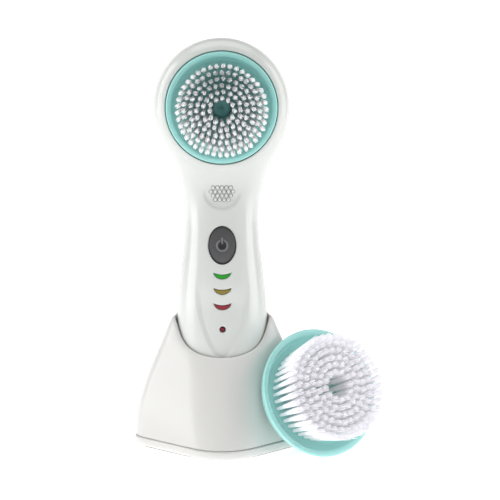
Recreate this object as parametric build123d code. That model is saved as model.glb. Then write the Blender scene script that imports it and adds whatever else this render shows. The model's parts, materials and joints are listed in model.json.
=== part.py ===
from build123d import *
import math
import os

# Facial cleansing brush: a leaning wand with a round turning brush head, its charging stand,
# and a second, larger brush head that leans on the stand.
# Millimetres, +Z up, origin at the centre of the stand's flat underside, the user on -Y.

# ---------------------------------------------------------------- driving dimensions
# wand placement
foot_y, foot_z = -2.0, 8.0          # foot of the wand's centreline
lean_angle = 6.0                    # wand leans back
tilt_angle = 10.0                   # head tips forward again
bend_start, bend_end = 92.0, 122.0  # stretch of the centreline that bends
wand_bottom = 4.0                   # lower end of the casing, along the centreline
head_station = 146.2                # centre of the round head, along the centreline
casing_wall = 2.2
grip_half_width, waist_half_width = 20.6, 16.7
grip_top, waist_station, flare_radius, flare_top = 50.0, 92.0, 92.0, 132.0
grip_front, waist_front, neck_front = 14.8, 12.7, 16.4
grip_back, waist_back, neck_back = 15.4, 12.9, 10.4
foot_corner, edge_round = 12.5, 11.5
head_radius = 29.9
head_front, head_back, head_widest = 13.0, -15.0, 6.0   # along the head's axis
head_front_round, head_back_round = 6.0, 15.0

parting_offset = 2.6     # parting face, in front of the centreline
gasket_outset, gasket_width, gasket_height = 0.9, 0.7, 0.8

# brush recess and brush head, measured along the head's axis
recess_radius, recess_floor = 25.0, 5.4
recess_wall, recess_cup_radius = 2.0, 27.6
lip_radius = 24.3
spare_lip_radius = 28.7
dish_back, dish_floor, dish_rim = 7.4, 9.0, 14.2
bristle_reach = 14.0
bristle_outer, bristle_inner = 19.9, 4.6
hub_radius, hub_neck_radius, hub_back, hub_front = 5.0, 4.2, 5.9, 10.2
hex_radius, hex_clearance, hex_top = 2.5, 0.05, 9.2

# power button and indicators, on the front of the wand
button_station, button_half_width, button_half_height = 83.4, 5.9, 8.3
button_gap, button_travel = 0.25, 0.6
button_front, button_flange, flange_thickness, flange_width = 13.9, 9.7, 0.6, 0.8
speed_stations = {"green": 71.4, "amber": 64.6, "red": 57.7}
smile_half_width, smile_high, smile_low = 4.1, 0.9, 3.1
charge_station, charge_radius = 46.0, 1.4
lens_gap, lens_back, window_back = 0.05, 10.0, 2.8

# drive
fine_module, coarse_module = 0.5, 0.6
small_teeth, large_teeth = 10, 30
backlash = 0.12
idler_drop, motor_drop = 12.0, 22.0
motor_radius, motor_back, motor_front = 6.0, -7.1, 1.9
plate_screw_places = (-17.0, 17.0)
plate_back, plate_front = -8.6, -7.2
spindle_radius, running_clearance = 2.5, 0.05
bush_radius, spindle_boss_radius = 3.6, 5.4
pin_radius, pin_clearance, idler_boss_radius = 0.75, 0.01, 2.2
boss_back, plate_post_radius, plate_screw_depth = -3.0, 2.8, 2.0

# power
battery_radius, battery_low, battery_high, battery_y = 7.0, 22.0, 72.0, 3.2
board_front, board_back = 7.6, 6.4
coil_radius, coil_inner, ferrite_inner = 10.0, 5.0, 1.5

# screws: head radius, head height, shank radius
screw_head, screw_head_height, screw_shank = 2.0, 1.4, 1.0
thread_clearance, shank_clearance = 0.02, 0.15
shell_screw_places = [(-13.2, 17.0), (13.2, 17.0), (-11.0, 103.0), (11.0, 103.0)]
front_boss_radius, back_boss_radius, shell_screw_seat, shell_screw_tip = 2.6, 3.4, -4.0, 9.0

# stand
tray_height = 5.0
cover_wall = 2.4
socket_clearance = 0.45
lip_y, lip_z, saddle_y, saddle_z = -14.2, 43.2, 1.0, 61.0
# cover sections: height, half width, front point, side corner y, rear half width, rear y, radii
cover_sections = [
    (5.0, 40.2, 35.0, -6.0, 33.0, 30.0, 31.0, 9.0, 12.0),
    (22.0, 37.2, 29.4, -5.0, 30.0, 29.0, 28.0, 9.0, 12.0),
    (40.0, 31.3, 22.3, -3.0, 24.0, 27.0, 22.0, 10.0, 11.0),
    (62.0, 22.8, 15.0, -1.0, 16.0, 24.0, 12.0, 9.0, 9.0),
]
tray_outline = (0.0, 40.7, 35.6, -6.0, 33.4, 30.5, 31.0, 9.0, 12.0)
pad_thickness, tray_floor = 1.2, 2.6
stand_screw_places = [(-26.0, 6.0), (26.0, 6.0), (-14.0, 24.5), (14.0, 24.5), (0.0, -24.0)]
stand_screw_tip = 14.0
inlet_z, inlet_radius, inlet_wall, inlet_face = 11.0, 4.0, 27.0, 29.7
inlet_bore, inlet_pin, inlet_back, inlet_bottom = 2.75, 1.0, 19.2, 20.8

# spare head: centre of its rim, and where the rim faces
spare_centre = (43.9, -14.5, 27.25)
spare_facing = (0.418, -0.810, 0.409)

os.makedirs("parts", exist_ok=True)


# ---------------------------------------------------------------- frames
bend_radius = (bend_end - bend_start) / math.radians(tilt_angle)


def spine(station, forward=0.0):
    """Point of the wand's centreline plane: (y, z, turn in degrees), moved forward."""
    if station <= bend_start:
        y, z, turn = 0.0, station, 0.0
    else:
        turn = min(station - bend_start, bend_end - bend_start) / bend_radius
        y = -bend_radius * (1 - math.cos(turn))
        z = bend_start + bend_radius * math.sin(turn)
        beyond = max(station - bend_end, 0.0)
        y -= beyond * math.sin(turn)
        z += beyond * math.cos(turn)
    y -= forward * math.cos(turn)
    z -= forward * math.sin(turn)
    return y, z, math.degrees(turn)


wand = Location((0, foot_y, foot_z), (-lean_angle, 0, 0))
head_y, head_z, head_turn = spine(head_station)
in_head = Location((0, head_y, head_z), (head_turn, 0, 0)) * Location((0, 0, 0), (90, 0, 0))
head_axis = wand * in_head


def on_front(station, forward, x=0.0):
    """Frame on the wand at a station: local Z points forward, local Y up the wand."""
    y, z, turn = spine(station, forward)
    return Location((x, y, z), (turn, 0, 0)) * Location((0, 0, 0), (90, 0, 0))


def ring(outer, inner, low, high):
    """Tube about local Z."""
    return Pos(0, 0, low) * extrude(Circle(outer) - Circle(inner), high - low)


def rod(radius, low, high):
    """Cylinder about local Z."""
    return Pos(0, 0, low) * extrude(Circle(radius), high - low)


def block(x, y, z):
    """Box from three (low, high) pairs."""
    return Pos(x[0], y[0], z[0]) * Box(x[1] - x[0], y[1] - y[0], z[1] - z[0],
                                       align=(Align.MIN, Align.MIN, Align.MIN))


# ---------------------------------------------------------------- wand casing
def flare_half_width(z, inset=0.0):
    """Half width where the waist flares out towards the head."""
    radius = flare_radius + inset
    return waist_half_width - inset + radius - math.sqrt(radius ** 2 - (z - waist_station) ** 2)


def wand_outline(inset=0.0):
    """Front view of the grip, waist and flare."""
    bottom = wand_bottom + inset
    wide, waist = grip_half_width - inset, waist_half_width - inset
    middle = (waist_station + flare_top) / 2
    top = (flare_half_width(flare_top, inset), flare_top)
    bend = foot_corner * (1 - math.sqrt(0.5))
    right = Wire([
        Line((0, bottom), (wide - foot_corner, bottom)),
        ThreePointArc((wide - foot_corner, bottom), (wide - bend, bottom + bend), (wide, bottom + foot_corner)),
        Line((wide, bottom + foot_corner), (wide, grip_top)),
        Spline((wide, grip_top), (waist + 1.35, 75), (waist, waist_station), tangents=((0, 1), (0, 1))),
        ThreePointArc((waist, waist_station), (flare_half_width(middle, inset), middle), top),
        Line(top, (0, flare_top)),
    ])
    left = right.mirror(Plane.YZ)
    return make_face(Wire([*right.edges(), *left.edges()]))


def wand_profile(inset=0.0):
    """Side view of the grip, waist and flare, front on the left."""
    front, back = -grip_front + inset, grip_back - inset
    tip = math.radians(tilt_angle)
    up_the_head = (-math.sin(tip), math.cos(tip))
    front_top, back_top = (-neck_front + inset, flare_top), (neck_back - inset, flare_top)
    return make_face(Wire([
        Line((front, -5), (front, grip_top - 5)),
        Spline((front, grip_top - 5), (-waist_front + inset, waist_station), front_top,
               tangents=((0, 1), up_the_head)),
        Line(front_top, back_top),
        Spline((back, grip_top - 5), (waist_back - inset, waist_station), back_top,
               tangents=((0, 1), up_the_head)),
        Line((back, grip_top - 5), (back, -5)),
        Line((back, -5), (front, -5)),
    ]))


def wand_grip(inset=0.0):
    body = extrude(Plane.XZ * wand_outline(inset), amount=40, both=True)
    body = body & extrude(Plane.YZ * wand_profile(inset), amount=60, both=True)
    edges = [edge for edge in body.edges() if abs(edge.center().Y) > 7]
    return fillet(edges, edge_round - inset)


def wand_head(inset=0.0):
    """Round head about its own axis: small edge radius in front, long back."""
    radius, front, back = head_radius - inset, head_front - inset, head_back + inset
    front_flat = head_radius - head_front_round
    back_flat = head_radius - head_back_round
    half = Wire([
        Line((0, front), (front_flat, front)),
        EllipticalCenterArc((front_flat, head_widest), radius - front_flat, front - head_widest,
                            start_angle=0, arc_size=90),
        EllipticalCenterArc((back_flat, head_widest), radius - back_flat, head_widest - back,
                            start_angle=270, arc_size=90),
        Line((back_flat, back), (0, back)),
        Line((0, back), (0, front)),
    ])
    return in_head * revolve(Plane.XZ * make_face(half), Axis.Z)


def casing_body(inset=0.0):
    """The whole outside of the wand, or the same shape drawn in by inset."""
    return wand_grip(inset) + wand_head(inset)


def in_front_of(offset):
    """Everything forward of the parting surface moved by offset."""
    def at(station):
        y, z, turn = spine(station, offset)
        return (y, z)
    low, high = at(-20), at(200)
    outline = Wire([
        Line(low, at(bend_start)),
        ThreePointArc(at(bend_start), at((bend_start + bend_end) / 2), at(bend_end)),
        Line(at(bend_end), high),
        Line(high, (-90, high[1])),
        Line((-90, high[1]), (-90, low[1])),
        Line((-90, low[1]), low),
    ])
    return extrude(Plane.YZ * make_face(outline), amount=60, both=True)


def smile(inset=0.0):
    """Crescent window with pointed ends turned up."""
    tip = (smile_half_width - 2 * inset, -2 * inset)
    left = (-tip[0], tip[1])
    return make_face(Wire([
        ThreePointArc(left, (0, -smile_low + inset), tip),
        ThreePointArc(tip, (0, -smile_high - inset), left),
    ]))


def screw_shaft(head_r, shank_r, head_low, head_high, tip):
    """Screw along local Z with its head at the low end."""
    return rod(head_r, head_low, head_high) + rod(shank_r, head_high, tip)


outer_casing = casing_body()
inner_casing = casing_body(casing_wall)
front_region = in_front_of(parting_offset)
front_hollow = (outer_casing & front_region) - inner_casing
back_hollow = (outer_casing - front_region) - inner_casing


def gasket():
    band = casing_body(gasket_outset) - casing_body(gasket_outset + gasket_width)
    slab = in_front_of(parting_offset - gasket_height / 2) - in_front_of(parting_offset + gasket_height / 2)
    return band & slab


def button_outline(extra=0.0):
    return Ellipse(button_half_width + extra, button_half_height + extra)


def front_cut(face, station, low=window_back, high=30.0):
    """A prism through the casing's front wall."""
    return on_front(station, 0.0) * Pos(0, 0, low) * extrude(face, high - low)


def build_front_shell(seal):
    shell = front_hollow
    inside_floor = recess_floor - 0.5
    in_idler = in_head * Pos(0, -idler_drop, 0)
    cup = (in_head * rod(recess_cup_radius, recess_floor - recess_wall, 20)) & outer_casing
    shell = shell + cup
    shell = shell + in_head * rod(spindle_boss_radius, boss_back, inside_floor)
    shell = shell + in_idler * rod(idler_boss_radius, boss_back, inside_floor)
    for x, station in shell_screw_places:
        boss = on_front(station, 0.0, x) * rod(front_boss_radius, parting_offset, 30)
        shell = shell + (boss & outer_casing)
    for x in plate_screw_places:
        shell = shell + in_head * Pos(x, 0, 0) * rod(plate_post_radius, plate_front, inside_floor)
        shell = shell - in_head * Pos(x, 0, 0) * rod(screw_shank + thread_clearance, -10, plate_screw_depth)
    shell = shell - in_head * rod(recess_radius, recess_floor, 30)
    shell = shell - in_head * rod(bush_radius, boss_back - 2, recess_floor + 1)
    shell = shell - in_idler * rod(pin_radius + pin_clearance, boss_back - 2, 3.0)
    for x, station in shell_screw_places:
        thread = rod(screw_shank + thread_clearance, 0, shell_screw_tip + 0.5)
        shell = shell - on_front(station, 0.0, x) * thread
    shell = shell - front_cut(button_outline(button_gap), button_station)
    for station in speed_stations.values():
        shell = shell - front_cut(smile(), station)
    shell = shell - front_cut(Circle(charge_radius), charge_station)
    return shell - seal


def build_back_shell(seal):
    shell = back_hollow
    for x, station in shell_screw_places:
        boss = on_front(station, 0.0, x) * rod(back_boss_radius, -30, parting_offset)
        shell = shell + ((boss & outer_casing) - front_region)
    for x, station in shell_screw_places:
        shell = shell - on_front(station, 0.0, x) * rod(screw_shank + shank_clearance, -30, 10)
        shell = shell - on_front(station, 0.0, x) * rod(screw_head + 2 * shank_clearance, -30, shell_screw_seat)
    return shell - seal


def group(pieces):
    """Separate solids of one node."""
    together = Part()
    for piece in pieces:
        together += piece
    return together


def build_shell_screws():
    screw = screw_shaft(screw_head, screw_shank, shell_screw_seat - screw_head_height, shell_screw_seat,
                        shell_screw_tip)
    return group(on_front(station, 0.0, x) * screw for x, station in shell_screw_places)


def build_speed_lens(station):
    return front_cut(smile(lens_gap), station, low=lens_back) & outer_casing


def build_charge_lens():
    return front_cut(Circle(charge_radius - lens_gap), charge_station, low=lens_back) & outer_casing


def build_led(station):
    return on_front(station, board_front) * block((-0.8, 0.8), (-0.5, 0.5), (0, 1.0))


# ---------------------------------------------------------------- wand insides
def build_button():
    """Oval cap with a flange behind the casing's wall."""
    cap = front_cut(button_outline(), button_station, button_flange, button_front)
    front_edges = cap.faces().sort_by(Axis.Y)[0].edges()
    cap = fillet(front_edges, 0.8)
    return cap + front_cut(button_outline(flange_width), button_station, button_flange,
                           button_flange + flange_thickness)


def build_board():
    return on_front(0, board_back) * block((-11, 11), (36, 98), (0, board_front - board_back))


def build_tact_switch():
    """Switch behind the button, a little more than the button's travel away."""
    height = button_flange - board_front - button_travel - 0.1
    return on_front(button_station, board_front) * block((-3, 3), (-3, 3), (0, height))


def build_battery():
    cell = rod(battery_radius, battery_low, battery_high) + rod(2.5, battery_high, battery_high + 1.2)
    return Pos(0, battery_y, 0) * cell


def build_bracket():
    """Open cradle behind the cell with end stops."""
    cradle = ring(battery_radius + 1.6, battery_radius + 0.1, battery_low + 4, battery_high - 4)
    rear = block((-9, 9), (1, 9), (battery_low, battery_high))
    return Pos(0, battery_y, 0) * (cradle & rear)


def build_plate():
    """Plate that carries the motor, the idler and the rear bush."""
    outline = Circle(9.5) + Rectangle(40, 8)
    outline = outline + Pos(0, -motor_drop / 2) * Rectangle(19, motor_drop) + Pos(0, -motor_drop) * Circle(8.0)
    plate = Pos(0, 0, plate_back) * extrude(outline, plate_front - plate_back)
    plate = plate - rod(bush_radius, -20, 0) - Pos(0, -idler_drop, 0) * rod(1.65, -20, 0)
    plate = plate - Pos(0, -motor_drop, 0) * rod(2.2, -20, 0)
    for x in plate_screw_places:
        plate = plate - Pos(x, 0, 0) * rod(screw_shank + 0.1, -20, 0)
    return in_head * plate


def gear(module, teeth, low, high, bore, turned=0.0):
    """Spur gear about local Z, teeth thinned for backlash."""
    pitch = module * teeth / 2
    tip, root = pitch + module, pitch - 1.25 * module
    half_pitch = math.pi / (2 * teeth)
    narrow = backlash / 2 / pitch
    outline = []
    for tooth in range(teeth):
        centre = 2 * math.pi * tooth / teeth + math.radians(turned)
        for radius, half in ((root, half_pitch * 1.35 - narrow), (pitch, half_pitch - narrow),
                             (tip, half_pitch * 0.5 - narrow)):
            outline.append((centre - half, radius))
        for radius, half in ((tip, half_pitch * 0.5 - narrow), (pitch, half_pitch - narrow),
                             (root, half_pitch * 1.35 - narrow)):
            outline.append((centre + half, radius))
    points = [(radius * math.cos(angle), radius * math.sin(angle)) for angle, radius in outline]
    face = make_face(Polyline(points, close=True))
    return Pos(0, 0, low) * extrude(face, high - low) - rod(bore, low - 1, high + 1)


# ---------------------------------------------------------------- brush head
def build_dish(radius):
    """Shallow dish with a rolled rim, scaled to the radius of its lip about its flat back."""
    k = radius / lip_radius

    def at(r, h):
        return (r * k, dish_back + (h - dish_back) * k)
    floor_edge = (hub_neck_radius, at(0, dish_floor)[1])
    outline = Wire([
        Line((hub_neck_radius, dish_back), at(21.4, dish_back)),
        ThreePointArc(at(21.4, dish_back), at(22.3, 7.8), at(22.7, 8.7)),
        Line(at(22.7, 8.7), at(24.3, 13.2)),
        ThreePointArc(at(24.3, 13.2), at(23.6, 14.2), at(22.8, 13.5)),
        ThreePointArc(at(22.8, 13.5), at(21.9, 10.6), at(20.2, dish_floor)),
        Line(at(20.2, dish_floor), floor_edge),
        Line(floor_edge, (hub_neck_radius, dish_back)),
    ])
    return revolve(Plane.XZ * make_face(outline), Axis.Z)


def build_hub():
    """Centre boss of a brush head, with the hexagonal socket that takes the spindle's nose."""
    hub = rod(hub_radius, hub_back, dish_back) + rod(hub_neck_radius, dish_back, hub_front)
    hub = fillet(hub.faces().sort_by(Axis.Z)[-1].edges(), 1.2)
    socket = extrude(RegularPolygon(hex_radius + hex_clearance, 6), hex_top + 1.3 - hub_back)
    return hub - Pos(0, 0, hub_back - 1) * socket


def build_bristles(radius):
    """Envelope of the tufts."""
    k = radius / lip_radius
    floor = dish_back + (dish_floor - dish_back) * k + 0.05
    top = dish_back + (dish_rim - dish_back + bristle_reach) * k
    return ring(bristle_outer * k, bristle_inner * k, floor, top)


def build_spindle():
    shaft = rod(spindle_radius, -9.6, recess_floor)
    nose = Pos(0, 0, recess_floor) * extrude(RegularPolygon(hex_radius, 6), hex_top - recess_floor)
    return shaft + nose


# ---------------------------------------------------------------- stand
def stand_face(section, inset=0.0):
    """Five-sided rounded outline of the stand at one height."""
    height, width, front, side_y, rear_width, rear_y, front_r, side_r, rear_r = section
    width, front, rear_width, rear_y = width - inset, front - inset, rear_width - inset, rear_y - inset
    corners = [(0, -front), (width, side_y), (rear_width, rear_y), (-rear_width, rear_y), (-width, side_y)]
    face = make_face(Polyline(corners, close=True))
    for x, y, radius in ((0, -front, front_r), (width, side_y, side_r), (-width, side_y, side_r),
                         (rear_width, rear_y, rear_r), (-rear_width, rear_y, rear_r)):
        corner = face.vertices().sort_by_distance((x, y, 0))[0]
        face = fillet(corner, radius - inset)
    return Pos(0, 0, height) * face


def stand_body(inset=0.0, top=None):
    """Solid through the stand's sections, or through the lowest few of them."""
    wires = [stand_face(section, inset).face().outer_wire() for section in cover_sections[:top]]
    return Solid.make_loft(wires)


def socket_prism(extra, low, high):
    """Straight shaft with the grip's section, along the wand's lift direction."""
    width, depth = 2 * (grip_half_width + extra), grip_front + grip_back + 2 * extra
    section = RectangleRounded(width, depth, edge_round + extra)
    middle = (grip_back - grip_front) / 2
    return wand * Pos(0, middle, low) * extrude(section, high - low)


def mouth_region():
    """Everything above the sloping mouth and the level saddle behind it."""
    slope = (saddle_z - lip_z) / (saddle_y - lip_y)
    low_y = -60.0
    outline = Polyline([(low_y, lip_z + (low_y - lip_y) * slope), (saddle_y, saddle_z), (60, saddle_z),
                        (60, 120), (low_y, 120)], close=True)
    return extrude(Plane.YZ * make_face(outline), amount=60, both=True)


def build_cover():
    """Hollow stand with the cup that holds the wand."""
    cover = stand_body()
    cup = socket_prism(socket_clearance + cover_wall, wand_bottom - socket_clearance - cover_wall, 40)
    hollow = stand_body(cover_wall, 3) - cup
    for x, y in stand_screw_places:
        hollow = hollow - Pos(x, y, 0) * rod(3.0, 0, 60)
    cover = cover - hollow
    cover = cover - socket_prism(socket_clearance, wand_bottom - socket_clearance, 120)
    cover = cover - mouth_region()
    for x, y in stand_screw_places:
        cover = cover - Pos(x, y, 0) * rod(screw_shank + thread_clearance, 0, stand_screw_tip + 0.5)
    return cover - facing_back(rod(inlet_radius + 0.1, 20, 40))


def facing_back(shape):
    """Turns local Z to point out of the stand's back, at the height of the inlet."""
    return Location((0, 0, inlet_z), (-90, 0, 0)) * shape


def build_tray():
    tray = Pos(0, 0, pad_thickness) * extrude(stand_face(tray_outline), tray_height - pad_thickness)
    floor_top = pad_thickness + tray_floor
    tray = tray - Pos(0, 0, floor_top) * extrude(stand_face(tray_outline, 2.2), 10)
    for x, y in stand_screw_places:
        tray = tray + Pos(x, y, 0) * rod(2.9, floor_top, tray_height)
    for x, y in stand_screw_places:
        tray = tray - Pos(x, y, 0) * rod(screw_shank + 0.1, 0, 10)
        tray = tray - Pos(x, y, 0) * rod(screw_head + 0.2, 0, pad_thickness + screw_head_height + 0.1)
    return tray


def build_stand_screws():
    low = pad_thickness + 0.1
    screw = screw_shaft(screw_head, screw_shank, low, low + screw_head_height, stand_screw_tip)
    return group(Pos(x, y, 0) * screw for x, y in stand_screw_places)


def build_base_pad():
    return extrude(stand_face(tray_outline, 3.5), pad_thickness)


def build_inlet():
    """Socket for a round mains-adaptor plug."""
    body = Pos(0, 0, inlet_back) * extrude(Rectangle(9, 10.4), inlet_wall - inlet_back)
    body = body + rod(inlet_radius, inlet_wall, inlet_face)
    body = body - rod(inlet_bore, inlet_bottom, inlet_face + 1)
    return facing_back(body - rod(inlet_pin, inlet_back + 0.6, inlet_bottom + 1))


# ---------------------------------------------------------------- one file for each piece
def spare_frame():
    """Frame whose local Z is the spare head's axis, its rim centred on spare_centre."""
    facing = Vector(*spare_facing).normalized()
    k = spare_lip_radius / lip_radius
    origin = Vector(*spare_centre) - facing * (dish_back + (dish_rim - dish_back) * k)
    return Location(Plane(origin=origin, x_dir=(0.889, 0.459, 0), z_dir=facing))


def save(name, shape):
    export_step(shape, "parts/" + name + ".step")


seal = gasket()
save("front_shell", wand * build_front_shell(seal))
save("back_shell", wand * build_back_shell(seal))
save("shell_gasket", wand * seal)
save("shell_screws", wand * build_shell_screws())
for colour, station in speed_stations.items():
    save("speed_lens_" + colour, wand * build_speed_lens(station))
    save("speed_led_" + colour, wand * build_led(station))
save("charge_lens", wand * build_charge_lens())
save("charge_led", wand * build_led(charge_station))
save("control_board", wand * build_board())
save("button_switch", wand * build_tact_switch())
save("power_button", wand * build_button())
save("battery", wand * build_battery())
save("battery_bracket", wand * build_bracket())
save("receiving_coil", wand * ring(coil_radius, coil_inner, 9.6, 11.2))
save("receiving_ferrite", wand * ring(coil_radius, ferrite_inner, 11.3, 12.5))

idler_frame = head_axis * Pos(0, -idler_drop, 0)
motor_frame = head_axis * Pos(0, -motor_drop, 0)
motor_can = rod(motor_radius, motor_back, motor_front) + rod(2.1, -8.4, motor_back) - rod(0.8, -10, 1.2)
save("motor_can", motor_frame * motor_can)
save("motor_end_cap", motor_frame * rod(5.6, motor_front, motor_front + 1.0))
save("motor_shaft", motor_frame * rod(pin_radius, -11.3, 1.1))
save("motor_pinion", motor_frame * gear(fine_module, small_teeth, -11.1, -8.9, pin_radius, turned=18))
save("idler_wheel", idler_frame * gear(fine_module, large_teeth, -11.0, -9.0, 1.6))
idler_pinion = gear(coarse_module, small_teeth, -6.8, -3.4, 0.8, turned=18) + ring(1.6, 0.8, -11.0, -6.8)
save("idler_pinion", idler_frame * idler_pinion)
save("idler_pin", idler_frame * rod(pin_radius, -11.4, 2.9))
save("output_gear", head_axis * gear(coarse_module, large_teeth, -6.6, -3.9, spindle_radius))
save("gear_plate", wand * build_plate())
plate_screw = screw_shaft(1.7, screw_shank, plate_back - 1.2, plate_back, 1.5)
save("plate_screws", head_axis * group(Pos(x, 0, 0) * plate_screw for x in plate_screw_places))
bush_bore = spindle_radius + running_clearance
save("rear_bush", head_axis * ring(bush_radius, bush_bore, plate_back, plate_front))
save("front_bush", head_axis * ring(bush_radius, bush_bore, boss_back, 3.4))
save("spindle_seal", head_axis * ring(bush_radius, bush_bore, 3.5, recess_floor))
save("drive_spindle", head_axis * build_spindle())
save("spindle_clip", head_axis * ring(3.4, spindle_radius, -9.3, -8.75))
save("brush_dish", head_axis * build_dish(lip_radius))
save("brush_hub", head_axis * build_hub())
save("brush_bristles", head_axis * build_bristles(lip_radius))
spare = spare_frame()
save("spare_dish", spare * build_dish(spare_lip_radius))
save("spare_hub", spare * build_hub())
save("spare_bristles", spare * build_bristles(spare_lip_radius))
save("stand_cover", build_cover())
save("stand_tray", build_tray())
save("stand_base_pad", build_base_pad())
save("stand_screws", build_stand_screws())
save("sending_coil", wand * ring(coil_radius, coil_inner, -0.9, 1.0))
save("sending_ferrite", wand * ring(coil_radius, ferrite_inner, -1.9, -1.0))
save("ballast_plate", block((-21, 21), (-15, 15), (3.8, 4.8)))
save("charger_board", block((-9, 9), (17, 27), (3.8, 5.0)))
save("dc_inlet", build_inlet())
save("dc_inlet_pin", facing_back(rod(inlet_pin, inlet_back + 0.6, inlet_face - 0.8)))
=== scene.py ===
"""Looks of a facial cleansing brush in its charging stand, with a second brush head leaning on it.

Shapes are worked out in millimetres and scaled to metres when their meshes are made.
"""
import json
import math

import bpy
import numpy as np
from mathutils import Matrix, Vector


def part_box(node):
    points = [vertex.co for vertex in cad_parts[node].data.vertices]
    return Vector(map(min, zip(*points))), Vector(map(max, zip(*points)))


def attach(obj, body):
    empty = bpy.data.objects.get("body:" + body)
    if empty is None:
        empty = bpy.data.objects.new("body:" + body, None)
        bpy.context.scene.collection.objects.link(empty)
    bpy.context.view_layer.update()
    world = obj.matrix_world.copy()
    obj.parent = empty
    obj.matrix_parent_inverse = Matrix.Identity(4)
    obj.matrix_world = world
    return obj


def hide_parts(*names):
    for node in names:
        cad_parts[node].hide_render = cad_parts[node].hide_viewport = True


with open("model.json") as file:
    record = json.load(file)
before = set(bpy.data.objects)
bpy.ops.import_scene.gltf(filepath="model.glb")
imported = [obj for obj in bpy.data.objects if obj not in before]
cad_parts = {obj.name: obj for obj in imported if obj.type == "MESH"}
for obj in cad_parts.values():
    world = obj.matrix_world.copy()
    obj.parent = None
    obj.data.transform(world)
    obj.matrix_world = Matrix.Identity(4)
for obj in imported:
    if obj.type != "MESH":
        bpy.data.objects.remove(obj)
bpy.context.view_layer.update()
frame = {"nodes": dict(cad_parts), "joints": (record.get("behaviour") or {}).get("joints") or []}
MM = 0.001
RANDOM_SEED = 7


# ---------------------------------------------------------------- places, from the frame
joints = {joint["name"]: joint for joint in frame["joints"]}
X_AXIS = np.array([1.0, 0.0, 0.0])

# centreline of the wand
BEND_START, BEND_END, TILT = 92.0, 122.0, math.radians(10.0)
BEND_RADIUS = (BEND_END - BEND_START) / TILT
HEAD_STATION = 146.2


def spine(station):
    """Distance behind and above the wand's foot at a station, and the turn there."""
    turn = min(max(station - BEND_START, 0), BEND_END - BEND_START) / BEND_RADIUS
    beyond = max(station - BEND_END, 0)
    back = -BEND_RADIUS * (1 - math.cos(turn)) - beyond * math.sin(turn)
    up = min(station, BEND_START) + BEND_RADIUS * math.sin(turn) + beyond * math.cos(turn)
    return back, up, turn


wand_up = np.array(joints["wand_lift"]["axis"], float)
wand_back = np.cross(wand_up, X_AXIS)
head_out = np.array(joints["brush_spin"]["axis"], float)
head_up = np.cross(head_out, X_AXIS)
head_centre = np.array(joints["brush_spin"]["pos_m"], float) / MM
head_back_of_foot, head_above_foot, _ = spine(HEAD_STATION)
wand_foot = head_centre - head_back_of_foot * wand_back - head_above_foot * wand_up

spare_out = np.array([0.418, -0.810, 0.409])
spare_out /= np.linalg.norm(spare_out)
spare_side = np.array([0.889, 0.459, 0.0])
spare_side -= spare_out * (spare_side @ spare_out)
spare_side /= np.linalg.norm(spare_side)

# casing
WAND_BOTTOM, CASING_WALL = 4.0, 2.2
PARTING, PARTING_GAP = 2.6, 0.12
HEAD_RADIUS, HEAD_FRONT, HEAD_BACK, HEAD_WIDEST = 29.9, 13.0, -15.0, 6.0
HEAD_FRONT_ROUND, HEAD_BACK_ROUND = 6.0, 15.0
RECESS_RADIUS, RECESS_FLOOR, RECESS_WALL = 24.6, 5.4, 2.0
SPINDLE_HOLE_RADIUS = 3.6
SCREW_PLACES = ((-13.2, 17.0), (13.2, 17.0), (-11.0, 103.0), (11.0, 103.0))
SCREW_POCKET_RADIUS, SCREW_POCKET_FLOOR = 2.3, 5.0
FOOT_ROUND, GRIP_TOP_ROUND, NECK_BLEND, CUP_BLEND = 11.0, 12.0, 9.0, 0.6
EDGE_ROUND, OPENING_ROUND = 0.5, 0.35
FIELD_RANGE = (-14.0, 40.0)

# stations up the wand, and the section there
STATIONS = (0, 20, 40, 56, 69, 83, 96, 108, 118, 128, 140, 160)
HALF_WIDTHS = (20.6, 20.6, 20.7, 20.2, 19.0, 17.3, 16.7, 18.1, 21.0, 23.8, 25.0, 25.0)
FRONTS = (14.8, 14.8, 14.8, 14.7, 14.2, 13.2, 12.7, 12.5, 11.8, 10.6, 10.0, 10.0)
BACKS = (15.4, 15.4, 15.4, 15.3, 14.6, 13.4, 12.9, 12.8, 12.8, 12.4, 12.0, 12.0)
GRIP_TOP = 140.0
SQUARENESS = (2.0, 2.0, 2.0, 2.05, 2.15, 2.3, 2.35, 2.5, 2.8, 3.0, 3.0, 3.0)

# front of the wand
BUTTON_STATION, BUTTON_HALF_WIDTH, BUTTON_HALF_HEIGHT, BUTTON_GAP = 83.4, 5.9, 8.3, 0.25
SMILE_STATIONS = {"green": 71.4, "amber": 64.6, "red": 57.7}
SMILE_HALF_WIDTH, SMILE_HIGH, SMILE_LOW = 4.1, 0.9, 3.1
CHARGE_STATION, CHARGE_RADIUS = 46.0, 1.4
OPENING_BACK, LENS_BACK, LENS_SUNK, LENS_CLEARANCE, LENS_ROUND = 3.0, 10.4, 0.12, 0.06, 0.3
LENS_SHADE_WIDTH = 0.9
CREASE_STATIONS = (30, 34, 38, 42, 46, 50, 56, 64)
CREASE_HALF_WIDTHS = (-1.5, 2.5, 5.2, 7.2, 8.6, 9.8, 10.8, 11.5)
CREASE_DEPTH, CREASE_TOP, CREASE_FADE, CREASE_SLOPE_WIDTH = 0.8, 68.0, 14.0, 2.8
PAD_STATION, PAD_HALF_WIDTH, PAD_HALF_HEIGHT, PAD_DEPTH = 107.5, 8.6, 8.2, 0.9

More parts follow.
